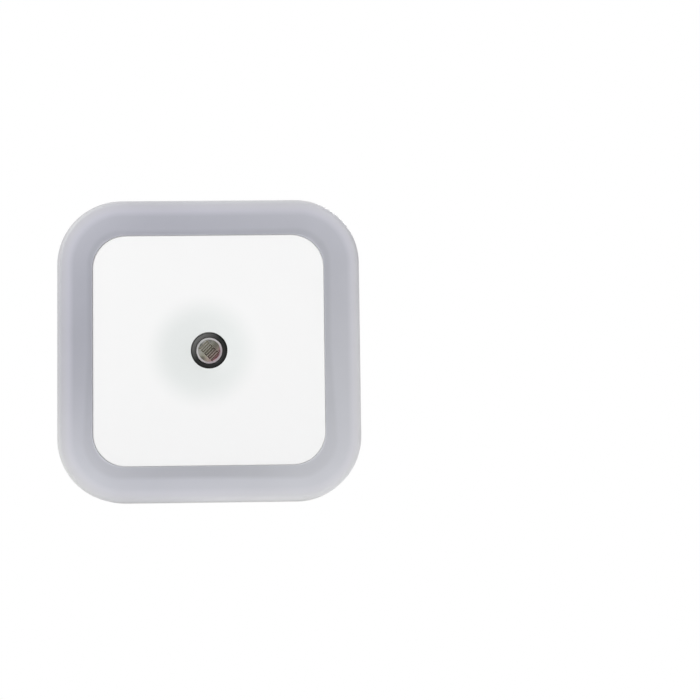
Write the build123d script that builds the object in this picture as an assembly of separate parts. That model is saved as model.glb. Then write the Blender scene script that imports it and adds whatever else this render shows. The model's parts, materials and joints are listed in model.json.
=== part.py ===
from build123d import *
import os
from math import copysign, cos, radians, sin, tan

# Plug in night light with a light sensor. Millimetres.
# Each piece is drawn facing the room: x to the right, y up, z out of the wall.
# z = 0 is the plug's engagement face, and the pins reach to negative z.
# write() then turns it to the part's own frame: +X right, +Z up, pins along +Y.

# Body outline
body_side = 65.5
body_corner = 13.9
rim_height = 9.7
rim_wall = 2.2
ledge_width = 4.45
box_height = 12.75
box_corner = 8.2
box_draft = 1.2
wall = 2.0
rear_round = 0.9
ledge_round = 0.8
foot_round = 0.6

# Diffuser, with a tongue that snaps into the rim
diffuser_height = 5.55
diffuser_wall = 2.2
diffuser_skin = 1.8
diffuser_round = 1.1
tongue_depth = 3.0
tongue_end_gap = 0.2
lip_wall = 1.0
bead_radius = 0.4
bead_length = 12.0
bead_depth = 1.5
bead_gap = 0.1
pocket_depth = 2.1
pocket_round = 0.15
tray_wall = 1.5
tray_floor = 1.2

# Front plate with a dish round the sensor
plate_side = 50.05
plate_corner = 7.15
plate_thickness = 1.8
plate_round = 0.2
plate_gap = 0.05
dish_radius = 12.3
dish_depth = 1.0
collar_wall = 1.1
collar_drop = 1.9
peg_radius = 1.0
peg_length = 2.2
peg_inset = 6.5

# Plug: engagement face, scooped ends, plinth
pin_spacing = 18.6
pin_to_end = 5.25
plug_width = 12.7
plug_flat = 16.1
plug_end_flat = 2.4
plug_height = 18.3
plug_edge_round = 0.7
plug_face_round = 0.5
scoop_depth = 2.8
scoop_height = 9.0
plinth_step = 0.8
plinth_height = 3.55
plinth_corner = 1.5
plinth_round = 0.5

# Inside of the plug insert
core_length = 11.6
core_width = 8.4
core_corner = 1.0
face_wall = 2.6
insert_wall = 1.6
insert_floor = 2.2
ear_from_plinth = 4.2
ear_radius = 2.7
ear_thickness = 2.0
boss_height = 4.0
boss_radius = 2.5
frame_wall = 1.2
frame_height = 2.0

# Pins
pin_radius = 2.0
pin_length = 19.0
sleeve_length = 10.0
sleeve_bedding = 2.4
sleeve_base_radius = 2.12
shank_radius = 1.4
shoulder_radius = 2.5
shoulder_height = 1.5
tail_length = 9.0
cup_radius = 0.6
cup_depth = 2.5

# Board and the posts that carry it
board_setback = 5.65
board_thickness = 1.2
board_margin = 3.5
board_corner = 3.0
post_from_wall = 6.65
post_radius = 3.0
post_rib = 1.2
pilot_radius = 1.05
pilot_depth = 8.0

# Screws, all of one size
screw_radius = 1.0
screw_length = 6.0
screw_head_radius = 1.9
screw_head_height = 1.4
screw_slot_width = 0.5
screw_slot_length = 2.3
screw_slot_depth = 0.7

# Sensor
tube_radius = 3.93
tube_bore = 2.87
tube_lip = 0.46
tube_setback = 0.25
cell_setback = 0.2
cell_thickness = 1.2
cell_film = 0.08
cell_dome = 0.35
cell_rim = 0.39
track_width = 0.27
track_pitch = 0.5
track_stripes = 8
track_length = 2.25
track_gap = 0.04
cell_turn = -45
cell_lead_radius = 0.25
cell_lead_pitch = 3.4

# Lamps
led_length = 3.5
led_width = 2.8
led_height = 0.7
led_well_radius = 1.1
led_well_depth = 0.35
led_inset = 3.0

# Clearances
slide_gap = 0.1
lead_gap = 0.05
cell_gap = 0.06

# Parts on the board's back. inset is from the board's edge to a part's middle,
# and span is from foot to foot.
standoff = 0.3
lead_radius = 0.3
lead_tail = 1.2
lead_bend = 0.6
solder_radius = 0.85
solder_height = 0.8
solder_tip = 0.1
dropper_inset = 8.5
dropper_size = (13.0, 6.0, 11.0)
dropper_corner = 0.8
dropper_span = 10.0
smoothing_x = -12.5
smoothing_inset = 8.5
smoothing_radius = 3.15
smoothing_height = 11.0
smoothing_span = 2.5
smoothing_crimp = 0.25
smoothing_crimp_at = 2.0
transistor_x = -4.5
transistor_inset = 9.5
transistor_radius = 2.3
transistor_height = 4.6
transistor_flat = 1.3
transistor_lift = 3.4
transistor_pitch = 1.27
transistor_spread = 2.54
surge_inset = 4.5
surge_radius = 1.75
surge_length = 9.0
surge_span = 13.0
surge_waist = 0.3
bleed_inset = 2.6
bleed_radius = 1.2
bleed_length = 6.3
bleed_span = 10.0
bleed_waist = 0.25
bias_inset = (9.0, 10.0)
bias_radius = 0.9
bias_length = 3.4
bias_span = 7.5
bias_waist = 0.2
zener_inset = (9.0, 10.0)
zener_radius = 0.95
zener_length = 4.0
zener_span = 7.5
zener_waist = 0.1
diode_inset = (13.0, 7.25)
diode_radius = 1.35
diode_length = 5.2
diode_span = 8.0
diode_waist = 0.1
diode_pitch = 3.5
diode_count = 4
wire_inset = 7.5
wire_y = 5.5
wire_radius = 0.75
core_radius = 0.4
wire_drop = 2.25
wire_bend = 1.5
strip_length = 1.0

# Depths of the faces, counted out of the wall
plinth_z = plug_height
rear_z = plinth_z + plinth_height
inner_z = rear_z + wall
ledge_z = rear_z + box_height
seam_z = ledge_z + rim_height
front_z = seam_z + diffuser_height
pocket_z = front_z - pocket_depth
plate_z = pocket_z + plate_thickness
dish_z = plate_z - dish_depth
tube_z = dish_z - tube_setback
cell_z = tube_z - cell_setback
board_front_z = seam_z - board_setback
board_back_z = board_front_z - board_thickness
insert_floor_z = plinth_z + insert_floor
boss_z = inner_z + boss_height
insert_end_z = boss_z + ear_thickness
tail_z = insert_floor_z + shoulder_height + tail_length
lead_end_z = board_front_z + lead_tail

# Widths and places that follow from others
box_side = body_side - 2 * ledge_width
plug_length = pin_spacing + 2 * pin_to_end
plinth_length = plug_length + 2 * plinth_step
plinth_width = plug_width + 2 * plinth_step
ear_at = plinth_length / 2 + ear_from_plinth
post_at = box_side / 2 - wall - post_from_wall
board_half = post_at + board_margin
led_at = board_half - led_inset
dropper_at = (0, board_half - dropper_inset)
smoothing_at = (smoothing_x, smoothing_inset - board_half)
transistor_at = (transistor_x, transistor_inset - board_half)
surge_at = (surge_inset - board_half, 0)
bleed_at = (0, board_half - bleed_inset)
bias_at = (board_half - bias_inset[0], board_half - bias_inset[1])
zener_at = (zener_inset[0] - board_half, board_half - zener_inset[1])
diode_at = (board_half - diode_inset[0], diode_inset[1] - board_half)
wire_foot = (board_half - wire_inset, wire_y)
tongue_side = body_side - 2 * (lip_wall + slide_gap)
pocket_side = plate_side + 2 * plate_gap
plate_bore = tube_radius + plate_gap
collar_radius = plate_bore + collar_wall
peg_at = plate_side / 2 - peg_inset
cell_radius = tube_bore - cell_gap

ON_BASE = (Align.CENTER, Align.CENTER, Align.MIN)
QUARTERS = [Rot(0, 0, turn) for turn in (0, 90, 180, 270)]


def slab(outline, low, high):
    """Solid of a flat outline between two depths."""
    return extrude(Pos(0, 0, low) * outline, amount=high - low)


def rod(radius, low, high, at=(0, 0)):
    """Round bar along z between two depths."""
    return Pos(at[0], at[1], low) * Cylinder(radius, high - low, align=ON_BASE)


def rounded_square(side, corner):
    return RectangleRounded(side, side, corner)


def corners(reach):
    """The four places at plus and minus reach in x and y."""
    return [(x, y) for x in (-reach, reach) for y in (-reach, reach)]


def edges_at(solid, z):
    """Edges that lie flat at one depth."""
    return solid.edges().filter_by_position(Axis.Z, z - 0.001, z + 0.001)


def write(name, solid):
    """Turn a piece to the part's frame, with the pins along +Y, and save it."""
    export_step(Plane.XZ.location * solid, f"parts/{name}.step")


# ---- Housing ----

def drafted_block(side, corner, low, high):
    """Block that widens towards the ledge, where its width is side."""
    outlines = []
    for z in (low, high):
        inset = (ledge_z - z) * tan(radians(box_draft))
        outlines.append(Pos(0, 0, z) * rounded_square(side - 2 * inset, corner - inset))
    return loft(outlines)


def housing_skin():
    """Outer form: a drafted box behind a wider rim, with soft edges."""
    box = drafted_block(box_side, box_corner, rear_z, ledge_z)
    box = fillet(edges_at(box, rear_z), min(rear_round, wall / 2))
    foot = box.faces().sort_by(Axis.Z)[-1].outer_wire()
    rim = slab(rounded_square(body_side, body_corner), ledge_z, seam_z)
    rim = fillet(edges_at(rim, ledge_z), min(ledge_round, ledge_width / 3))
    skin = box + rim
    inner_edges = [e for e in edges_at(skin, ledge_z) if foot.distance_to(e @ 0.5) < 0.01]
    return fillet(inner_edges, min(foot_round, ledge_width / 3))


def bead(radius):
    """Snap bead along one side of the tongue, repeated on all four sides."""
    bar = Pos(tongue_side / 2, 0, seam_z - bead_depth) * Rot(90, 0, 0) * Cylinder(radius, bead_length)
    return [quarter * bar for quarter in QUARTERS]


def board_posts():
    """Four posts for the board, each tied to both walls of its corner by ribs."""
    reach = (box_side - wall) / 2
    length = reach - post_at
    posts = []
    for x, y in corners(post_at):
        along_x = Pos((x + copysign(reach, x)) / 2, y) * Rectangle(length, post_rib)
        along_y = Pos(x, (y + copysign(reach, y)) / 2) * Rectangle(post_rib, length)
        posts += [slab(rib, inner_z - wall / 2, ledge_z) for rib in (along_x, along_y)]
        posts.append(rod(post_radius, inner_z - wall / 2, board_back_z, (x, y)))
    return posts


def insert_frame():
    """Raised frame round the opening for the plug insert."""
    outer = RectangleRounded(
        plinth_length + 2 * (slide_gap + frame_wall),
        plinth_width + 2 * (slide_gap + frame_wall),
        plinth_corner + slide_gap + frame_wall,
    )
    return slab(outer, inner_z - wall / 2, inner_z + frame_height)


def insert_opening():
    outline = RectangleRounded(
        plinth_length + 2 * slide_gap,
        plinth_width + 2 * slide_gap,
        plinth_corner + slide_gap,
    )
    return slab(outline, rear_z - 1, inner_z + frame_height + 1)


def rear_housing():
    """Two step shell with an opening for the plug insert, posts, bosses and a rebated lip."""
    box_hollow = drafted_block(box_side - 2 * wall, box_corner - wall, inner_z, ledge_z)
    neck = slab(rounded_square(box_side - 2 * wall, box_corner - wall), ledge_z, ledge_z + wall)
    rim_hollow = slab(
        rounded_square(body_side - 2 * rim_wall, body_corner - rim_wall), ledge_z + wall, seam_z
    )
    rebate = slab(
        rounded_square(body_side - 2 * lip_wall, body_corner - lip_wall),
        seam_z - tongue_depth - tongue_end_gap,
        seam_z,
    )
    shell = housing_skin() - box_hollow - neck - rim_hollow - rebate
    shell -= bead(bead_radius + bead_gap)
    shell += board_posts()
    shell += insert_frame()
    for x in (-ear_at, ear_at):
        shell += rod(boss_radius, inner_z - wall / 2, boss_z, (x, 0))
        shell -= rod(pilot_radius, inner_z, boss_z, (x, 0))
    for at in corners(post_at):
        shell -= rod(pilot_radius, board_back_z - pilot_depth, board_back_z, at)
    return shell - insert_opening()


# ---- Diffuser and front plate ----

def diffuser():
    """Milky frame: a shell with a tongue behind it and a tray for the front plate."""
    body = slab(rounded_square(body_side, body_corner), seam_z, front_z)
    body = fillet(edges_at(body, front_z), min(diffuser_round, diffuser_wall / 2))
    tongue_corner = body_corner - lip_wall - slide_gap
    body += slab(rounded_square(tongue_side, tongue_corner), seam_z - tongue_depth, seam_z)
    body += bead(bead_radius)
    body -= slab(
        rounded_square(body_side - 2 * diffuser_wall, body_corner - diffuser_wall),
        seam_z - tongue_depth,
        front_z - diffuser_skin,
    )
    tray_corner = plate_corner + plate_gap + tray_wall
    tray = rounded_square(pocket_side + 2 * tray_wall, tray_corner)
    body += slab(tray, pocket_z - tray_floor, front_z - diffuser_skin / 2)
    body -= slab(rounded_square(pocket_side, plate_corner + plate_gap), pocket_z, front_z)
    body = fillet(body.faces().sort_by(Axis.Z)[-1].inner_wires()[0].edges(), pocket_round)
    body -= rod(collar_radius + slide_gap, pocket_z - tray_floor, pocket_z)
    for at in corners(peg_at):
        body -= rod(peg_radius + slide_gap, pocket_z - tray_floor, pocket_z, at)
    return body


def dish():
    """What the dish takes away: flat at its rim and steepest at the sensor's hole."""
    flare = TangentArc((dish_radius, plate_z), (plate_bore, dish_z), tangent=(-1, 0))
    rest = Polyline(
        (plate_bore, dish_z), (0, dish_z), (0, plate_z + 1), (dish_radius, plate_z + 1),
        (dish_radius, plate_z),
    )
    profile = make_face(flare.edges() + rest.edges())
    return revolve(Plane.XZ * profile, Axis.Z)


def front_plate():
    """Square cover with a dished sensor hole, a collar behind the hole and four pegs."""
    plate = slab(rounded_square(plate_side, plate_corner), pocket_z, plate_z)
    plate = fillet(edges_at(plate, plate_z), min(plate_round, plate_thickness / 3))
    plate += rod(collar_radius, pocket_z - collar_drop, pocket_z)
    for at in corners(peg_at):
        plate += rod(peg_radius, pocket_z - peg_length, pocket_z, at)
    return plate - dish() - rod(plate_bore, pocket_z - collar_drop, plate_z)


# ---- Plug ----

def plug_body():
    """Six sided shroud whose ends curve inwards towards the plinth."""
    half_length, half_flat = plug_length / 2, plug_flat / 2
    half_width, half_end = plug_width / 2, plug_end_flat / 2
    plan = Polygon(
        (-half_flat, -half_width), (half_flat, -half_width),
        (half_length, -half_end), (half_length, half_end),
        (half_flat, half_width), (-half_flat, half_width),
        (-half_length, half_end), (-half_length, -half_end),
        align=None,
    )
    plan = fillet(plan.vertices(), min(plug_edge_round, half_end / 2))
    scoop_z = plinth_z - scoop_height
    ends = [
        Polyline((-half_length, scoop_z), (-half_length, 0), (half_length, 0), (half_length, scoop_z)),
        TangentArc((half_length, scoop_z), (half_length - scoop_depth, plinth_z), tangent=(0, 1)),
        Line((half_length - scoop_depth, plinth_z), (scoop_depth - half_length, plinth_z)),
        TangentArc((-half_length, scoop_z), (scoop_depth - half_length, plinth_z), tangent=(0, 1)),
    ]
    elevation = make_face([edge for line in ends for edge in line.edges()])
    side = extrude(Plane.XZ * elevation, amount=plug_width, both=True)
    body = slab(plan, 0, plinth_z) & side
    return fillet(edges_at(body, 0), plug_face_round)


def plug_insert():
    """Plug body on its plinth, which runs on through the wall as a sleeve with two screw ears."""
    plinth = slab(
        RectangleRounded(plinth_length, plinth_width, plinth_corner), plinth_z, insert_end_z
    )
    plinth = fillet(edges_at(plinth, plinth_z), min(plinth_round, plinth_step / 2))
    ears = SlotCenterToCenter(2 * ear_at, 2 * ear_radius)
    insert = plug_body() + plinth + slab(ears, boss_z, insert_end_z)
    hollow = RectangleRounded(
        plinth_length - 2 * insert_wall, plinth_width - 2 * insert_wall, plinth_corner
    )
    insert -= slab(hollow, insert_floor_z, insert_end_z)
    core = RectangleRounded(core_length, core_width, core_corner)
    insert -= slab(core, face_wall, insert_end_z)
    for side in (-1, 1):
        pin = (side * pin_spacing / 2, 0)
        insert -= rod(shank_radius + lead_gap, 0, insert_floor_z, pin)
        insert -= rod(sleeve_base_radius + lead_gap, 0, sleeve_bedding + lead_gap, pin)
        insert -= rod(screw_radius + slide_gap, boss_z, insert_end_z, (side * ear_at, 0))
    return insert


def pin():
    """Contact pin: round tip, neck under the sleeve, shoulder inside, solder cup at the tail."""
    tip_z = -pin_length
    shoulder_z = insert_floor_z
    shank = rod(shank_radius, -sleeve_length, tail_z)
    head = rod(pin_radius, tip_z + pin_radius, -sleeve_length)
    tip = Pos(0, 0, tip_z + pin_radius) * Sphere(pin_radius)
    shoulder = rod(shoulder_radius, shoulder_z, shoulder_z + shoulder_height)
    cup = rod(cup_radius, tail_z - cup_depth, tail_z)
    return shank + head + tip + shoulder - cup


def pin_sleeve():
    """Insulating sleeve, flush with the pin's metal and a little wider at the plug's face."""
    inner = shank_radius + lead_gap
    outer = sleeve_base_radius
    profile = Polygon(
        (inner, -sleeve_length), (pin_radius, -sleeve_length), (outer, 0),
        (outer, sleeve_bedding), (inner, sleeve_bedding),
        align=None,
    )
    return revolve(Plane.XZ * profile, Axis.Z)


# ---- Sensor ----

def sensor_tube():
    """Black tube round the photocell with a rounded lip, standing on the board."""
    tube = rod(tube_radius, board_front_z, tube_z) - rod(tube_bore, board_front_z, tube_z)
    return fillet(edges_at(tube, tube_z), min(tube_lip, (tube_radius - tube_bore) / 2.2))


def track_outline(width):
    """Zigzag of straight stripes joined at alternate ends, with a tail at each end of it."""
    last = (track_stripes - 1) / 2 * track_pitch
    outline = Sketch()
    for i in range(track_stripes):
        x = i * track_pitch - last
        outline += Pos(x, 0) * Rectangle(width, track_length + width)
        if i:
            end = track_length / 2 if i % 2 else -track_length / 2
            outline += Pos(x - track_pitch / 2, end) * Rectangle(track_pitch, width)
    tail = cell_radius - last
    last_end = track_length / 2 if track_stripes % 2 else -track_length / 2
    for side, end in ((-1, -track_length / 2), (1, last_end)):
        outline += Pos(side * (last + tail / 2), end) * Rectangle(tail + width, width)
    return outline


def photocell():
    """Ceramic disc, zigzag track, the two electrodes beside it, and a clear coating."""
    film_z = cell_z - cell_dome - cell_film
    turn = Rot(0, 0, cell_turn)
    disc = rod(cell_radius, film_z - cell_thickness, film_z)
    area = Circle(cell_radius - cell_rim)
    track = slab(turn * (track_outline(track_width) & area), film_z, film_z + cell_film)
    rest = area - track_outline(track_width + 2 * track_gap)
    electrodes = slab(turn * rest, film_z, film_z + cell_film)
    dome_radius = (cell_radius**2 + cell_dome**2) / (2 * cell_dome)
    dome = Pos(0, 0, cell_z - dome_radius) * Sphere(dome_radius)
    coating = rod(cell_radius, film_z + cell_film, cell_z) & dome
    return disc, track, electrodes, coating


def cell_feet():
    reach = cell_lead_pitch / 2
    angle = radians(cell_turn + 90)
    step = (reach * cos(angle), reach * sin(angle))
    return [(-step[0], -step[1]), step]


def photocell_leads():
    low = board_back_z - lead_tail
    high = cell_z - cell_dome - cell_film - cell_thickness
    return Part() + [rod(cell_lead_radius, low, high, foot) for foot in cell_feet()]


# ---- Board and lamps ----

def axial_feet(at, span, upright):
    """The two places where an axial part's leads go through the board."""
    half = span / 2
    step = (0, half) if upright else (half, 0)
    return [(at[0] - step[0], at[1] - step[1]), (at[0] + step[0], at[1] + step[1])]


def diode_places():
    first = diode_at[1] - (diode_count - 1) / 2 * diode_pitch
    return [(diode_at[0], first + i * diode_pitch) for i in range(diode_count)]


def transistor_feet():
    x, y = transistor_at
    return [(x - transistor_spread, y), (x, y), (x + transistor_spread, y)]


def lead_feet():
    """Every lead of the parts on the board's back."""
    feet = axial_feet(dropper_at, dropper_span, False)
    feet += axial_feet(smoothing_at, smoothing_span, False)
    feet += axial_feet(surge_at, surge_span, True)
    feet += axial_feet(bleed_at, bleed_span, False)
    feet += axial_feet(bias_at, bias_span, True)
    feet += axial_feet(zener_at, zener_span, True)
    for at in diode_places():
        feet += axial_feet(at, diode_span, False)
    return feet + transistor_feet()


def wire_feet():
    return [(-wire_foot[0], wire_foot[1]), wire_foot]


def circuit_board():
    """Square board drilled for its leads, its wires and its screws."""
    board = slab(rounded_square(2 * board_half, board_corner), board_back_z, board_front_z)
    holes = [rod(lead_radius + lead_gap, board_back_z, board_front_z, at) for at in lead_feet()]
    holes += [rod(core_radius + lead_gap, board_back_z, board_front_z, at) for at in wire_feet()]
    holes += [rod(cell_lead_radius + lead_gap, board_back_z, board_front_z, at) for at in cell_feet()]
    holes += [
        rod(screw_radius + slide_gap, board_back_z, board_front_z, at) for at in corners(post_at)
    ]
    return board - holes


def led_package():
    body = Pos(led_at, 0, board_front_z) * Box(led_width, led_length, led_height, align=ON_BASE)
    return body - led_phosphor()


def led_phosphor():
    top = board_front_z + led_height
    return rod(led_well_radius, top - led_well_depth, top, (led_at, 0))


def around(solid):
    """The same solid on each of the board's four sides."""
    return Part() + [quarter * solid for quarter in QUARTERS]


# ---- Parts on the board's back ----

def bent_lead(at, upright, side, body_half, span, radius):
    """Lead that leaves an axial body, bends and goes through the board."""
    axis_z = board_back_z - standoff - radius
    path = FilletPolyline(
        (side * body_half, 0, axis_z), (side * span / 2, 0, axis_z), (side * span / 2, 0, lead_end_z),
        radius=lead_bend,
    )
    start = Plane(origin=path @ 0, z_dir=path % 0)
    lead = sweep(start * Circle(lead_radius), path=path)
    return Pos(at[0], at[1], 0) * Rot(0, 0, 90 if upright else 0) * lead


def axial_leads(at, upright, length, span, radius):
    return [bent_lead(at, upright, side, length / 2, span, radius) for side in (-1, 1)]


def axial_body(at, upright, length, radius, waist):
    """Round body along the board; waist is how far its middle is drawn in."""
    axis_z = board_back_z - standoff - radius
    cap = length / 5
    profile = Polygon(
        (-length / 2, 0), (-length / 2, radius - waist / 2), (-length / 2 + waist / 2, radius),
        (-length / 2 + cap, radius), (-length / 2 + cap + waist, radius - waist),
        (length / 2 - cap - waist, radius - waist), (length / 2 - cap, radius),
        (length / 2 - waist / 2, radius), (length / 2, radius - waist / 2), (length / 2, 0),
        align=None,
    )
    body = revolve(profile, Axis.X)
    return Pos(at[0], at[1], axis_z) * Rot(0, 0, 90 if upright else 0) * body


def straight_leads(at, span):
    top = board_back_z - standoff
    return [rod(lead_radius, top, lead_end_z, foot) for foot in axial_feet(at, span, False)]


def dropper_capacitor():
    length, width, height = dropper_size
    top = board_back_z - standoff
    block = Pos(dropper_at[0], dropper_at[1], top - height) * Box(length, width, height, align=ON_BASE)
    return fillet(block.edges().filter_by(Axis.Z) + edges_at(block, top - height), dropper_corner)


def smoothing_capacitor():
    """Can with a crimped groove near its seal and a scored end."""
    top = board_back_z - standoff
    can = rod(smoothing_radius, top - smoothing_height, top, smoothing_at)
    can = fillet(edges_at(can, top - smoothing_height), 2 * smoothing_crimp)
    groove_at = Pos(smoothing_at[0], smoothing_at[1], top - smoothing_crimp_at)
    groove = groove_at * Torus(smoothing_radius, 2 * smoothing_crimp)
    score = Pos(smoothing_at[0], smoothing_at[1], top - smoothing_height)
    for turn in (0, 90):
        cut = Box(smoothing_radius, smoothing_crimp, smoothing_crimp)
        can -= score * Rot(0, 0, turn) * cut
    return can - groove


def switch_transistor():
    """Small D shaped transistor hung below the board on its legs."""
    x, y = transistor_at
    top = board_back_z - transistor_lift
    body = rod(transistor_radius, top - transistor_height, top, transistor_at)
    back = Pos(x, y + transistor_flat, top - transistor_height)
    cut = Box(
        4 * transistor_radius, 2 * transistor_radius, transistor_height,
        align=(Align.CENTER, Align.MIN, Align.MIN),
    )
    return body - back * cut


def transistor_legs():
    top = board_back_z - transistor_lift
    legs = Part()
    for side in (-1, 0, 1):
        foot = Pos(transistor_at[0], transistor_at[1], 0)
        if side == 0:
            legs += foot * rod(lead_radius, top, lead_end_z)
            continue
        near, far = side * transistor_pitch, side * transistor_spread
        step = transistor_lift / 4
        path = FilletPolyline(
            (near, 0, top), (near, 0, top + step), (far, 0, top + 3 * step), (far, 0, lead_end_z),
            radius=step / 2,
        )
        start = Plane(origin=path @ 0, z_dir=path % 0)
        legs += foot * sweep(start * Circle(lead_radius), path=path)
    return legs


def mains_wire(side):
    """Insulated wire from a pin's cup to the board, bare at both ends."""
    start_x = side * pin_spacing / 2
    foot_x, foot_y = side * wire_foot[0], wire_foot[1]
    low, high = tail_z + lead_gap, board_back_z - strip_length
    turn_z = high - wire_drop
    path = FilletPolyline(
        (start_x, 0, low), (start_x, 0, turn_z), (foot_x, foot_y, turn_z), (foot_x, foot_y, high),
        radius=wire_bend,
    )
    start = Plane(origin=path @ 0, z_dir=path % 0)
    wire = sweep(start * Circle(wire_radius), path=path)
    wire += rod(core_radius, tail_z - cup_depth + lead_gap, low, (start_x, 0))
    return wire + rod(core_radius, high, lead_end_z, (foot_x, foot_y))


def solder_cone(at, radius, face_z, direction):
    """Fillet of solder round a lead that ends clear of the board."""
    low = min(face_z, face_z + direction * solder_height)
    radii = (solder_radius, radius + lead_gap + solder_tip)
    bottom, top = radii if direction > 0 else radii[::-1]
    cone = Pos(at[0], at[1], low) * Cone(bottom, top, solder_height, align=ON_BASE)
    return cone - rod(radius + lead_gap, low, low + solder_height, at)


def solder_joints():
    joints = [solder_cone(at, lead_radius, board_front_z, 1) for at in lead_feet()]
    joints += [solder_cone(at, core_radius, board_front_z, 1) for at in wire_feet()]
    joints += [solder_cone(at, cell_lead_radius, board_back_z, -1) for at in cell_feet()]
    return Part() + joints


def screw(at, seat_z):
    """Pan head screw driven towards the wall, its head on seat_z."""
    head = rod(screw_head_radius, seat_z, seat_z + screw_head_height, at)
    head = fillet(edges_at(head, seat_z + screw_head_height), screw_head_height / 3)
    shank = rod(screw_radius, seat_z - screw_length, seat_z, at)
    cross = Pos(at[0], at[1], seat_z + screw_head_height)
    body = head + shank
    for turn in (0, 90):
        slot = Box(screw_slot_length, screw_slot_width, 2 * screw_slot_depth)
        body -= cross * Rot(0, 0, turn) * slot
    return body


def main():
    os.makedirs("parts", exist_ok=True)

    write("rear_housing", rear_housing())
    write("diffuser", diffuser())
    write("front_plate", front_plate())
    write("plug_insert", plug_insert())
    for name, side in (("live", -1), ("neutral", 1)):
        place = Pos(side * pin_spacing / 2, 0, 0)
        write(f"{name}_pin", place * pin())
        write(f"{name}_pin_sleeve", place * pin_sleeve())
        write(f"{name}_wire", mains_wire(side))

    disc, track, electrodes, coating = photocell()
    write("sensor_tube", sensor_tube())
    write("photocell_disc", disc)
    write("photocell_track", track)
    write("photocell_electrodes", electrodes)
    write("photocell_coating", coating)
    write("photocell_leads", photocell_leads())

    write("circuit_board", circuit_board())
    write("led_packages", around(led_package()))
    write("led_phosphors", around(led_phosphor()))
    write("dropper_capacitor", dropper_capacitor())
    write("smoothing_capacitor", smoothing_capacitor())
    capacitor_leads = straight_leads(dropper_at, dropper_span)
    capacitor_leads += straight_leads(smoothing_at, smoothing_span)
    write("capacitor_leads", Part() + capacitor_leads)

    write("surge_resistor", axial_body(surge_at, True, surge_length, surge_radius, surge_waist))
    write("bleed_resistor", axial_body(bleed_at, False, bleed_length, bleed_radius, bleed_waist))
    write("bias_resistor", axial_body(bias_at, True, bias_length, bias_radius, bias_waist))
    resistor_leads = axial_leads(surge_at, True, surge_length, surge_span, surge_radius)
    resistor_leads += axial_leads(bleed_at, False, bleed_length, bleed_span, bleed_radius)
    resistor_leads += axial_leads(bias_at, True, bias_length, bias_span, bias_radius)
    write("resistor_leads", Part() + resistor_leads)

    diodes, diode_leads = [], axial_leads(zener_at, True, zener_length, zener_span, zener_radius)
    for at in diode_places():
        diodes.append(axial_body(at, False, diode_length, diode_radius, diode_waist))
        diode_leads += axial_leads(at, False, diode_length, diode_span, diode_radius)
    write("rectifier_diodes", Part() + diodes)
    write("zener_diode", axial_body(zener_at, True, zener_length, zener_radius, zener_waist))
    write("diode_leads", Part() + diode_leads)
    write("switch_transistor", switch_transistor())
    write("transistor_legs", transistor_legs())
    write("solder_joints", solder_joints())

    write("plug_screws", Part() + [screw((x, 0), insert_end_z) for x in (-ear_at, ear_at)])
    write("board_screws", Part() + [screw(at, board_front_z) for at in corners(post_at)])


main()
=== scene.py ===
import json
import math

import bpy
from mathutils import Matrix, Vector


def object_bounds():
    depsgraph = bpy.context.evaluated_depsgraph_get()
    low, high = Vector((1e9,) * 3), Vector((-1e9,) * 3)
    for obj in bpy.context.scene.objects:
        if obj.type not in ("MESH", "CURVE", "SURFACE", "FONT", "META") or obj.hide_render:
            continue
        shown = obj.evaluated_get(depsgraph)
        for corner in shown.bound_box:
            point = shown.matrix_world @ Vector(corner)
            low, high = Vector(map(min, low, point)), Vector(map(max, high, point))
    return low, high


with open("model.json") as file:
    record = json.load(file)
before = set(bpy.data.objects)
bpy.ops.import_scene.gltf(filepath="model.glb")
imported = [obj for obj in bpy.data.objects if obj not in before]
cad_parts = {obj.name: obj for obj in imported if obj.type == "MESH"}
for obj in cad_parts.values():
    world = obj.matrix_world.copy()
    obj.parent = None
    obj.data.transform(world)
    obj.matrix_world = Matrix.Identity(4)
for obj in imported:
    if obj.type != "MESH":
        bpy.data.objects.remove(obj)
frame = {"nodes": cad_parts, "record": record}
cad_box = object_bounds()
nodes = frame["nodes"]

# The scene is in metres. Sizes named below are in millimetres, unless their comment says metres.
MM = 0.001


def linear(value):
    """One sRGB channel, 0 to 255, as linear light."""
    value = value / 255
    return value / 12.92 if value <= 0.04045 else ((value + 0.055) / 1.055) ** 2.4


def colour(red, green, blue):
    return (linear(red), linear(green), linear(blue), 1.0)


def level(amount):
    """A grey that is already linear light."""
    return (amount, amount, amount, 1.0)


# ---- Values of the stage, lamps and camera ----

# Floor just under the body, and how far it reaches each way in metres
FLOOR_GAP = 0.1
FLOOR_REACH = 3.0
# Glow of the floor: what lights the object, and what the camera sees from near to far, in metres
FLOOR_GLOW = 0.45
FLOOR_GLOW_NEAR = 0.46
FLOOR_GLOW_FAR = 0.8
FLOOR_NEAR = 0.1
FLOOR_FAR = 0.4

# Light by height in the studio, from the horizon (0) to overhead (1)
STUDIO_LEVELS = [
    (0.0, level(0.71)),
    (0.34, level(0.71)),
    (0.42, level(0.06)),
    (0.6, level(0.06)),
    (0.7, level(1.15)),
    (1.0, level(1.15)),
]
# Upright dark gap that parts the two soft boxes: its direction, edges and light
STUDIO_GAP_X = 0.8
STUDIO_GAP_Y = -0.6
STUDIO_GAP_HALF = 0.05
STUDIO_GAP_END = 0.14
STUDIO_GAP_LEVEL = 0.06

# Two round lamps, in metres and watts, both aimed at the middle of the body
LAMP_AIM = (0.0, -0.03, 0.0)
LAMP_SIZE = 0.5
KEY_PLACE = (-0.6, -0.8, 0.6)
KEY_POWER = 4.9
BACK_PLACE = (0.5, 0.8, 0.7)
BACK_POWER = 4.2

# Long lens, a little below the middle of the front and turned a little to the side, in degrees
CAMERA_PLACE = (14.151, -481.594, -40.683)
CAMERA_TURN = (95.3305, 0.7866, -2.0966)
CAMERA_LENS = 102.976
CAMERA_SENSOR = 36.0
CAMERA_CLIP = 10.0

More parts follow.
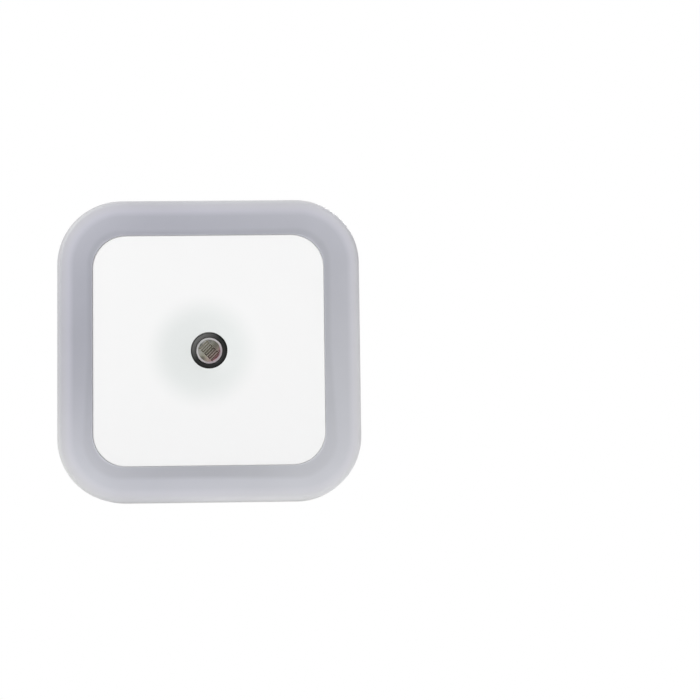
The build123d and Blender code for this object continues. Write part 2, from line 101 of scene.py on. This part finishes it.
# ---- Values of the front plate, sensor and pins ----

# Painted shade of the dish: a soft darker disc set a little to the left of the sensor
DISH_SHADE_X = -1.3
DISH_SHADE_Z = -0.4
DISH_SHADE_START = 6.5
DISH_SHADE_END = 13.4

# Painted light on the upper left of the sensor's tube, counted up and to the left
TUBE_PAINTED_LIGHT_FROM = 0.5
TUBE_PAINTED_LIGHT_TO = 5.0

# Wine red edge of the photocell's film, outside a circle set to the upper left
RED_MIDDLE_X = -1.64
RED_MIDDLE_Z = 1.15
RED_START = 3.72
RED_BLUR = 0.3
# Pink rim of the film, outside a circle round its middle
PINK_START = 2.2
PINK_BLUR = 0.12
# How far the film's colours, and the track's, and the rim's painted light and shade run each way,
# counted right and down
FILM_SPAN = 3.5
TRACK_SPAN = 3.0
# The film dulls towards the upper right, counted up and to the right
DULL_START = -0.5
DULL_END = 2.4
DULL_LEFT = 0.76
# Worn spots of the film: x, z, radius, and the share of its lightness left in the middle
FILM_SPOTS = [
    (0.95, 0.35, 1.0, 0.55),
    (1.6, 1.4, 1.1, 0.5),
    (-1.75, 1.2, 0.9, 0.4),
    (0.0, 2.1, 0.7, 0.6),
    (-1.45, -1.75, 0.9, 0.4),
]
# Share of a spot's radius that is worn through evenly
SPOT_CORE = 0.3
# Gap that keeps the clear dome's flat side off the film
DOME_LIFT = 0.02

# Where the pins' round tips start, along +Y, and how much smoother they are than the satin shank
TIP_START = 16.9
TIP_BLEND = 0.25
TIP_SMOOTHER = 0.17
# Width of the shank's drawing marks as a share of their length
DRAWN_SHARE = 0.04

# ---- Values of the milky frame ----

BODY_SIDE = 65.5
BODY_CORNER = 13.9

# Ring of the frame, from its outer edge (0) in to the plate (1): its milky colour, with painted light
# over the solid outer wall and painted shade over the hollow
RING_WIDTH = 7.73
RING_BANDS = [
    (0.0, colour(206, 206, 208)),
    (0.05, colour(200, 200, 204)),
    (0.28, colour(196, 196, 204)),
    (0.42, colour(182, 183, 191)),
    (1.0, colour(180, 181, 189)),
]
# The bands lie a little to the right and low, as the inner wall shows through
RING_SHIFT_X = 0.45
RING_SHIFT_Z = -0.3
# Where the outer wall, which is solid, gives way to the hollow, and how uneven the painted glow is
# over each
RING_SOLID_END = 0.28
RING_HOLLOW_START = 0.42
RING_LIFT_OUTER = 0.55
RING_LIFT_INNER = 1.0
# Where the front's colour gives way to that of the side wall, behind the front face
SIDE_START = 0.8
SIDE_END = 1.4
# Painted shade: a darker strip beside the plate, widest along the bottom and gone in the lower corners
RING_NEAR_START = 6.3
RING_NEAR_FULL = 7.1
RING_NEAR_DEPTH = 0.09
RING_NEAR_DEPTH_BELOW = 0.08
RING_NEAR_WIDER_BELOW = 1.6
RING_NEAR_WIDER_RIGHT = 0.4
RING_NEAR_CORNERS = 1.0
# Painted light on the walls of the plate's pocket, from this far in and this far behind the front
POCKET_INSET = 7.55
POCKET_DEPTH = 0.1
POCKET_BLEND = 0.1
# Painted light on the edge of the pocket
RING_POCKET_START = 7.5
RING_POCKET_LIFT = 0.1
# Painted light and shade on the outer edge: lit at the lower right and shaded at the left
RING_EDGE_WIDTH = 1.2
RING_EDGE_LIFT = 0.11
RING_EDGE_MOST = 0.14
RING_LEFT_WIDTH = 2.2
RING_LEFT_DROP = 0.1
# How much painted light comes through at each side and corner, and how blue it is. U and v run from -1
# to 1 across and up, between the middles of the ring's sides, so a negative value lifts the left or
# the bottom.
RING_MIDDLE = 28.9
RING_LIFT_U = 0.085
RING_LIFT_V = -0.125
RING_LIFT_SIDES = 0.042
RING_LIFT_CORNERS = 0.18
RING_LIFT_LEFT_CORNERS = -0.13
RING_BLUE_LEFT = -0.02
RING_BLUE_TOP = 0.018
RING_BLUE_CORNERS = -0.012
RING_BLUE_RIGHT_CORNERS = 0.02


# ---- Node helpers ----

class Nodes:
    """A node tree with short calls to add and join nodes."""

    def __init__(self, tree):
        self.tree = tree

    def add(self, kind, **settings):
        node = self.tree.nodes.new(kind)
        for key, value in settings.items():
            setattr(node, key, value)
        return node

    def feed(self, socket, value):
        """Join an output to a socket, or set the socket's own value."""
        if isinstance(value, bpy.types.NodeSocket):
            self.tree.links.new(value, socket)
        else:
            socket.default_value = value

    def place(self):
        """Object coordinates in metres."""
        return self.add("ShaderNodeTexCoord").outputs["Object"]

    def split(self, vector=None):
        """X, y and z of a vector, or of the place on the object."""
        parts = self.add("ShaderNodeSeparateXYZ")
        self.feed(parts.inputs[0], vector or self.place())
        return parts.outputs["X"], parts.outputs["Y"], parts.outputs["Z"]

    def maths(self, operation, first, second=0.0, third=0.0):
        node = self.add("ShaderNodeMath", operation=operation)
        for socket, value in zip(node.inputs, (first, second, third)):
            self.feed(socket, value)
        return node.outputs[0]

    def plus(self, first, second):
        return self.maths("ADD", first, second)

    def minus(self, first, second):
        return self.maths("SUBTRACT", first, second)

    def times(self, first, second):
        return self.maths("MULTIPLY", first, second)

    def times_plus(self, first, second, third):
        return self.maths("MULTIPLY_ADD", first, second, third)

    def least(self, first, second):
        return self.maths("MINIMUM", first, second)

    def most(self, first, second):
        return self.maths("MAXIMUM", first, second)

    def reach(self, x, z, middle_x=0.0, middle_z=0.0):
        """Distance of a place on the front from a middle given in millimetres."""
        aside = self.minus(x, middle_x * MM)
        above = self.minus(z, middle_z * MM)
        return self.maths("SQRT", self.times_plus(aside, aside, self.times(above, above)))

    def spread(self, value, low, high, start=0.3, end=0.7, curve="LINEAR"):
        """From low to high as the value goes from start to end, which suit a noise."""
        node = self.add("ShaderNodeMapRange", interpolation_type=curve)
        for key, number in (("From Min", start), ("From Max", end), ("To Min", low), ("To Max", high)):
            node.inputs[key].default_value = number
        self.feed(node.inputs["Value"], value)
        return node.outputs["Result"]

    def fade_in(self, distance, start, end, curve="LINEAR"):
        """From 0 to 1 between two distances given in millimetres."""
        return self.spread(distance, 0.0, 1.0, start * MM, end * MM, curve)

    def noise(self, scale, detail=3.0, where=None):
        node = self.add("ShaderNodeTexNoise")
        self.feed(node.inputs["Vector"], where or self.place())
        self.feed(node.inputs["Scale"], scale)
        self.feed(node.inputs["Detail"], detail)
        self.feed(node.inputs["Roughness"], 0.5)
        return node.outputs["Fac"]

    def join(self, red, green, blue):
        joined = self.add("ShaderNodeCombineColor")
        for socket, value in zip(joined.inputs, (red, green, blue)):
            self.feed(socket, value)
        return joined.outputs[0]

    def grey(self, value):
        return self.join(value, value, value)

    def ramp(self, value, stops, curve="LINEAR"):
        """Colour by value; stops are (place, colour) pairs."""
        node = self.add("ShaderNodeValToRGB")
        node.color_ramp.interpolation = curve
        elements = node.color_ramp.elements
        for _ in stops[2:]:
            elements.new(0.5)
        for element, (place, shade) in zip(elements, stops):
            element.position = place
            element.color = shade
        self.feed(node.inputs["Fac"], value)
        return node.outputs["Color"]

    def mix(self, factor, first, second, blend="MIX"):
        node = self.add("ShaderNodeMix", data_type="RGBA", blend_type=blend)
        self.feed(node.inputs[0], factor)
        self.feed(node.inputs[6], first)
        self.feed(node.inputs[7], second)
        return node.outputs[2]

    def tinted(self, shade, tint):
        return self.mix(1.0, shade, tint, "MULTIPLY")

    def camera_ray(self):
        return self.add("ShaderNodeLightPath").outputs["Is Camera Ray"]


class Finish(Nodes):
    """One material, made from its Principled shader."""

    def __init__(self, name):
        self.material = bpy.data.materials.new(name)
        self.material.use_nodes = True
        super().__init__(self.material.node_tree)
        self.shader = self.tree.nodes["Principled BSDF"]

    def set(self, **values):
        for key, value in values.items():
            self.feed(self.shader.inputs[key.replace("_", " ")], value)

    def bump(self, height, distance):
        node = self.add("ShaderNodeBump")
        self.feed(node.inputs["Height"], height)
        self.feed(node.inputs["Distance"], distance)
        self.feed(node.inputs["Strength"], 1.0)
        self.set(Normal=node.outputs["Normal"])


# ---- Materials ----

def darker(shade, share):
    return tuple(channel * share for channel in shade[:3]) + (1.0,)


def moulded(name, shade):
    """Moulded plastic: faint cloudiness, a fine spark-eroded texture and uneven gloss."""
    made = Finish(name)
    made.set(Base_Color=made.mix(made.noise(60, 4), shade, darker(shade, 0.985)))
    made.set(Roughness=made.spread(made.noise(900, 2), 0.31, 0.4), IOR=1.5)
    made.set(Subsurface_Weight=0.15, Subsurface_Scale=0.001, Subsurface_Radius=(1.0, 0.8, 0.7))
    made.bump(made.noise(5000, 2), 4e-6)
    return made.material


def plain(name, shade, metallic):
    """Simple finish of a piece inside the body."""
    made = Finish(name)
    made.set(Base_Color=made.mix(made.noise(400), shade, darker(shade, 0.9)))
    made.set(Roughness=made.spread(made.noise(1500, 2), 0.35, 0.45), Metallic=metallic)
    return made.material


def plate_plastic():
    """Glossy white of the front plate, with painted shade a little darker in the middle of its dish.
    """
    made = Finish("plate plastic")
    x, _, z = made.split()
    away = made.reach(x, z, DISH_SHADE_X, DISH_SHADE_Z)
    painted_dish_shade = made.fade_in(away, DISH_SHADE_START, DISH_SHADE_END, "SMOOTHSTEP")
    shade = made.mix(painted_dish_shade, colour(230, 233, 232), colour(245, 245, 245))
    cloud = made.spread(made.noise(30, 2), 0.988, 1.004, 0.0, 1.0)
    made.set(Base_Color=made.tinted(shade, made.grey(cloud)))
    made.set(Roughness=made.spread(made.noise(200, 2), 0.25, 0.28, 0.0, 1.0), IOR=1.5)
    return made.material


def body_inset(made, x, z):
    """How far a place lies in from the body's outline, a square with round corners."""
    half = (BODY_SIDE / 2 - BODY_CORNER) * MM
    over_x = made.minus(made.maths("ABSOLUTE", x), half)
    over_z = made.minus(made.maths("ABSOLUTE", z), half)
    outside = made.reach(made.most(over_x, 0.0), made.most(over_z, 0.0))
    inside = made.least(made.most(over_x, over_z), 0.0)
    return made.minus(BODY_CORNER * MM, made.plus(outside, inside))


def ring_lift(made, u, v, solid):
    """Painted glow round the ring: more light at the bottom, the right and in the corners."""
    uu, vv = made.times(u, u), made.times(v, v)
    lift = made.times_plus(u, RING_LIFT_U, made.times(v, RING_LIFT_V))
    lift = made.times_plus(made.minus(vv, uu), RING_LIFT_SIDES, lift)
    cornered = made.times_plus(u, RING_LIFT_LEFT_CORNERS, RING_LIFT_CORNERS)
    lift = made.times_plus(made.times(uu, vv), cornered, lift)
    return made.times_plus(lift, solid, 1.0)


def plate_shade(made, u, v, inset):
    """Painted shade: how much darker the ring is in the strip beside the plate."""
    below = made.most(made.times(v, -1.0), 0.0)
    right = made.most(u, 0.0)
    wider = made.times(below, RING_NEAR_WIDER_BELOW * MM)
    wider = made.times_plus(right, RING_NEAR_WIDER_RIGHT * MM, wider)
    near = made.fade_in(made.plus(inset, wider), RING_NEAR_START, RING_NEAR_FULL)
    cornered = made.times(made.times(u, u), below)
    depth = made.times_plus(below, RING_NEAR_DEPTH_BELOW, RING_NEAR_DEPTH)
    depth = made.times(depth, made.times_plus(cornered, -RING_NEAR_CORNERS, 1.0))
    return made.times(near, depth)


def ring_edges(made, u, v, inset):
    """Painted light and shade near the edges: pale at the pocket, lit at the lower right, shaded at
    the left and by the plate.
    """
    pocket = made.spread(inset, 0.0, RING_POCKET_LIFT, RING_POCKET_START * MM, RING_WIDTH * MM)
    edge = made.spread(inset, 1.0, 0.0, 0.0, RING_EDGE_WIDTH * MM)
    facing = made.times(made.minus(u, v), RING_EDGE_LIFT)
    facing = made.least(made.most(facing, 0.0), RING_EDGE_MOST)
    light = made.times_plus(edge, facing, made.plus(pocket, 1.0))
    left = made.most(made.times(u, -RING_LEFT_DROP), 0.0)
    shaded = made.spread(inset, 1.0, 0.0, 0.0, RING_LEFT_WIDTH * MM)
    light = made.minus(light, made.times(left, shaded))
    return made.minus(light, plate_shade(made, u, v, inset))


def ring_blue(made, u, v):
    """How blue the ring is: more at the left and the top, less in the left corners."""
    corner = made.times(made.times(u, u), made.times(v, v))
    blue = made.times_plus(u, RING_BLUE_LEFT, 1.0)
    blue = made.times_plus(v, RING_BLUE_TOP, blue)
    cornered = made.times_plus(u, RING_BLUE_RIGHT_CORNERS, RING_BLUE_CORNERS)
    return made.times_plus(corner, cornered, blue)


def ring_front(made, x, z, inset):
    """Colour of the ring as it is seen from the front, with its painted light and shade."""
    u = made.maths("DIVIDE", x, RING_MIDDLE * MM)
    v = made.maths("DIVIDE", z, RING_MIDDLE * MM)
    shifted_x = made.minus(x, RING_SHIFT_X * MM)
    shifted_z = made.minus(z, RING_SHIFT_Z * MM)
    depth = made.maths("DIVIDE", body_inset(made, shifted_x, shifted_z), RING_WIDTH * MM)
    solid = made.spread(depth, RING_LIFT_OUTER, RING_LIFT_INNER, RING_SOLID_END, RING_HOLLOW_START)
    light = made.times(ring_lift(made, u, v, solid), ring_edges(made, u, v, inset))
    light = made.times(light, made.spread(made.noise(70, 5), 0.97, 1.02))
    tint = made.join(light, light, made.times(light, ring_blue(made, u, v)))
    return made.tinted(made.ramp(depth, RING_BANDS), tint)


def milky_plastic():
    """Translucent milky frame with painted light and shade: paler over its outer wall, darker over the
    hollow and by the plate.
    """
    made = Finish("milky plastic")
    x, y, z = made.split()
    inset = body_inset(made, x, z)
    behind = made.minus(y, cad_box[0].y)
    wall = made.mix(made.noise(70, 5), colour(200, 200, 203), colour(193, 193, 196))
    side = made.fade_in(behind, SIDE_START, SIDE_END)
    shade = made.mix(side, ring_front(made, x, z, inset), wall)
    deep = made.fade_in(behind, POCKET_DEPTH, POCKET_DEPTH + POCKET_BLEND)
    inner = made.fade_in(inset, POCKET_INSET, POCKET_INSET + POCKET_BLEND)
    # Painted light: the walls of the plate's pocket, behind the front, are near white
    made.set(Base_Color=made.mix(made.times(deep, inner), shade, colour(250, 250, 251)))
    made.set(Roughness=made.spread(made.noise(800), 0.34, 0.44), IOR=1.46)
    made.set(Subsurface_Weight=0.3, Subsurface_Scale=0.001, Subsurface_Radius=(1.0, 1.0, 1.0))
    made.bump(made.noise(2500), 4e-6)
    return made.material


def tube_rubber():
    """Black rubber, made paler along the upper left of its lip by painted light."""
    made = Finish("tube rubber")
    x, _, z = made.split()
    painted_light = made.fade_in(made.minus(z, x), TUBE_PAINTED_LIGHT_FROM, TUBE_PAINTED_LIGHT_TO)
    made.set(Base_Color=made.mix(painted_light, colour(22, 23, 22), colour(98, 98, 97)))
    made.set(Roughness=made.spread(made.noise(1500), 0.42, 0.55), Specular_IOR_Level=0.3)
    made.bump(made.noise(4000), 6e-6)
    return made.material


def worn_film(made, x, z):
    """Lightness of the film: 1 where it is sound, less in each worn spot."""
    sound = 1.0
    for middle_x, middle_z, radius, left in FILM_SPOTS:
        away = made.reach(x, z, middle_x, middle_z)
        spot = made.spread(away, left, 1.0, SPOT_CORE * radius * MM, radius * MM)
        sound = made.times(spot, sound)
    return sound


def film_grain(made, x, z):
    """Mottling of the film, with its dull upper right side and its worn spots."""
    mottled = made.times(
        made.spread(made.noise(2200), 0.86, 1.06), made.spread(made.noise(700, 2), 0.84, 1.08)
    )
    dull = made.spread(made.plus(x, z), 1.0, DULL_LEFT, DULL_START * MM, DULL_END * MM)
    return made.times(made.times(mottled, dull), worn_film(made, x, z))


def cell_film():
    """Matt film: grey at the upper left, olive across, wine red along the lower right edge."""
    made = Finish("electrode film")
    x, _, z = made.split()
    stops = [
        (0.0, colour(176, 176, 173)),
        (0.28, colour(168, 167, 158)),
        (0.5, colour(160, 157, 137)),
        (1.0, colour(174, 144, 142)),
    ]
    shade = made.ramp(made.fade_in(made.minus(x, z), -FILM_SPAN, FILM_SPAN), stops)
    away = made.reach(x, z, RED_MIDDLE_X, RED_MIDDLE_Z)
    red = made.fade_in(away, RED_START, RED_START + RED_BLUR)
    shade = made.mix(red, shade, colour(104, 44, 52))
    rim = made.fade_in(made.reach(x, z), PINK_START, PINK_START + PINK_BLUR)
    shade = made.mix(made.times(rim, red), shade, colour(198, 160, 170))
    made.set(Base_Color=made.tinted(shade, made.grey(film_grain(made, x, z))))
    made.set(Roughness=made.spread(made.noise(4000, 2), 0.38, 0.5))
    made.bump(made.noise(6000, 2), 1e-6)
    return made.material


def cell_ceramic():
    """Pale glazed rim with painted light at the upper left, lilac and darker with painted shade at the
    lower right.
    """
    made = Finish("cell ceramic")
    x, _, z = made.split()
    along = made.fade_in(made.minus(x, z), -TRACK_SPAN, TRACK_SPAN)
    shade = made.mix(along, colour(244, 243, 243), colour(206, 195, 200))
    cloud = made.spread(made.noise(900), 0.93, 1.0)
    made.set(Base_Color=made.tinted(shade, made.grey(cloud)))
    made.set(Roughness=made.spread(made.noise(1500, 2), 0.4, 0.5))
    return made.material


def cell_track():
    """Track in the film: olive at the upper left, dark in the middle, brown at the lower right."""
    made = Finish("cell track")
    x, _, z = made.split()
    stops = [
        (0.0, colour(134, 130, 108)),
        (0.55, colour(58, 50, 34)),
        (1.0, colour(94, 60, 52)),
    ]
    shade = made.ramp(made.fade_in(made.minus(x, z), -TRACK_SPAN, TRACK_SPAN), stops)
    cloud = made.spread(made.noise(1500, 2), 0.0, 0.4)
    made.set(Base_Color=made.mix(cloud, shade, colour(66, 58, 42)))
    made.set(Roughness=made.spread(made.noise(3000, 2), 0.45, 0.6))
    return made.material


def clear_resin():
    """Thin clear coat over the cell: all but its gloss lets the film show."""
    made = Finish("clear resin")
    made.set(Base_Color=made.mix(made.noise(500, 2), colour(96, 92, 90), colour(80, 76, 74)))
    made.set(Roughness=made.spread(made.noise(900, 2), 0.1, 0.16), IOR=1.5, Alpha=0.05)
    return made.material


def pin_metal():
    """Nickel plated pin: satin, drawn along its length, and bright at the round tip."""
    made = Finish("pin metal")
    x, along, z = made.split()
    drawn = made.add("ShaderNodeCombineXYZ")
    for socket, value in zip(drawn.inputs, (x, made.times(along, DRAWN_SHARE), z)):
        made.feed(socket, value)
    streaks = made.noise(6000, where=drawn.outputs[0])
    tip = made.fade_in(along, TIP_START, TIP_START + TIP_BLEND)
    shade = made.mix(streaks, colour(214, 204, 178), colour(198, 188, 160))
    made.set(Base_Color=made.mix(tip, shade, colour(226, 223, 212)), Metallic=1.0)
    made.set(Roughness=made.times_plus(tip, -TIP_SMOOTHER, made.spread(streaks, 0.2, 0.3)))
    made.bump(made.times(streaks, made.minus(1.0, tip)), 8e-7)
    return made.material


MATERIALS = {
    "rear_housing": moulded("housing plastic", colour(240, 240, 239)),
    "plug_insert": moulded("plug plastic", colour(240, 240, 240)),
    "front_plate": plate_plastic(),
    "live_pin_sleeve": moulded("sleeve plastic", colour(236, 236, 236)),
    "diffuser": milky_plastic(),
    "sensor_tube": tube_rubber(),
    "live_pin": pin_metal(),
    "photocell_disc": cell_ceramic(),
    "photocell_track": cell_track(),
    "photocell_electrodes": cell_film(),
    "photocell_coating": clear_resin(),
}
MATERIALS["neutral_pin"] = MATERIALS["live_pin"]
MATERIALS["neutral_pin_sleeve"] = MATERIALS["live_pin_sleeve"]
METAL_CLASSES = ("brushed_steel", "aluminium")


def dress():
    """Give every CAD node its material, by name or from its slot in the record."""
    bases = {row["slot"]: row for row in frame["record"]["materials"]}
    slots = {row["node"]: row["material_slot"] for row in frame["record"]["subparts"]}
    for name, piece in nodes.items():
        material = MATERIALS.get(name)
        if material is None:
            base = bases[slots[name]]
            shade = tuple(base["base_color"][:3]) + (1.0,)
            metallic = 1.0 if base["class"] in METAL_CLASSES else 0.0
            material = plain(name + " finish", shade, metallic)
        piece.data.materials.clear()
        piece.data.materials.append(material)


def lift_dome():
    """Keep the clear dome's flat side off the film it lies on, so that their faces don't clash."""
    lift = nodes["photocell_coating"].modifiers.new("clear of the film", "DISPLACE")
    lift.direction = "Y"
    lift.mid_level = 0.0
    lift.strength = -DOME_LIFT * MM


# ---- Stage, camera and light ----

def floor_paper():
    """Pale matt paper that glows, more so to the camera, and that isn't seen from below."""
    made = Finish("floor paper")
    made.set(Base_Color=made.mix(made.noise(8), level(0.54), level(0.56)), Roughness=0.9)
    made.set(Specular_IOR_Level=0.0)
    x, y, _ = made.split()
    white = made.spread(made.reach(x, y), FLOOR_GLOW_NEAR, FLOOR_GLOW_FAR, FLOOR_NEAR, FLOOR_FAR)
    extra = made.minus(white, FLOOR_GLOW)
    glow = made.add("ShaderNodeEmission")
    made.feed(glow.inputs["Strength"], made.times_plus(made.camera_ray(), extra, FLOOR_GLOW))
    both = made.add("ShaderNodeAddShader")
    made.feed(both.inputs[0], made.shader.outputs[0])
    made.feed(both.inputs[1], glow.outputs[0])
    back = made.add("ShaderNodeMixShader")
    made.feed(back.inputs[0], made.add("ShaderNodeNewGeometry").outputs["Backfacing"])
    made.feed(back.inputs[1], both.outputs[0])
    made.feed(back.inputs[2], made.add("ShaderNodeBsdfTransparent").outputs[0])
    made.feed(made.tree.nodes["Material Output"].inputs["Surface"], back.outputs[0])
    return made.material


def add_to_scene(name, data):
    made = bpy.data.objects.new(name, data)
    bpy.context.scene.collection.objects.link(made)
    return made


def make_floor():
    """Flat floor just under the body."""
    height = cad_box[0].z - FLOOR_GAP * MM
    signs = ((-1, -1), (1, -1), (1, 1), (-1, 1))
    corners = [(across * FLOOR_REACH, along * FLOOR_REACH, height) for across, along in signs]
    mesh = bpy.data.meshes.new("floor")
    mesh.from_pydata(corners, [], [(0, 1, 2, 3)])
    mesh.materials.append(floor_paper())
    add_to_scene("floor", mesh)


def make_world():
    """White to the camera. The light is a low wrap round, a dark gap and two soft boxes above."""
    world = bpy.data.worlds.new("studio")
    world.use_nodes = True
    bpy.context.scene.world = world
    made = Nodes(world.node_tree)
    x, y, z = made.split(made.add("ShaderNodeTexCoord").outputs["Generated"])
    wrap = made.ramp(z, STUDIO_LEVELS, "EASE")
    side = made.times_plus(x, STUDIO_GAP_X, made.times(y, STUDIO_GAP_Y))
    side = made.maths("ABSOLUTE", side)
    gap = made.spread(side, STUDIO_GAP_LEVEL, 1.0, STUDIO_GAP_HALF, STUDIO_GAP_END)
    light = made.tinted(wrap, made.grey(gap))
    background = made.tree.nodes["Background"]
    made.feed(background.inputs["Color"], made.mix(made.camera_ray(), light, level(1.0)))
    made.feed(background.inputs["Strength"], 1.0)


def make_lamp(name, place, power):
    light = bpy.data.lights.new(name, "AREA")
    light.shape = "DISK"
    light.size = LAMP_SIZE
    light.energy = power
    lamp = add_to_scene(name, light)
    lamp.location = place
    away = Vector(place) - Vector(LAMP_AIM)
    lamp.rotation_euler = away.to_track_quat("Z", "Y").to_euler()


def make_camera():
    data = bpy.data.cameras.new("camera")
    data.lens = CAMERA_LENS
    data.sensor_width = CAMERA_SENSOR
    data.clip_start = CAMERA_CLIP * MM
    camera = add_to_scene("camera", data)
    camera.location = [along * MM for along in CAMERA_PLACE]
    camera.rotation_euler = [math.radians(angle) for angle in CAMERA_TURN]
    bpy.context.scene.camera = camera


bpy.context.scene.view_settings.view_transform = "Standard"
dress()
lift_dome()
make_floor()
make_world()
make_lamp("key", KEY_PLACE, KEY_POWER)
make_lamp("back", BACK_PLACE, BACK_POWER)
make_camera()
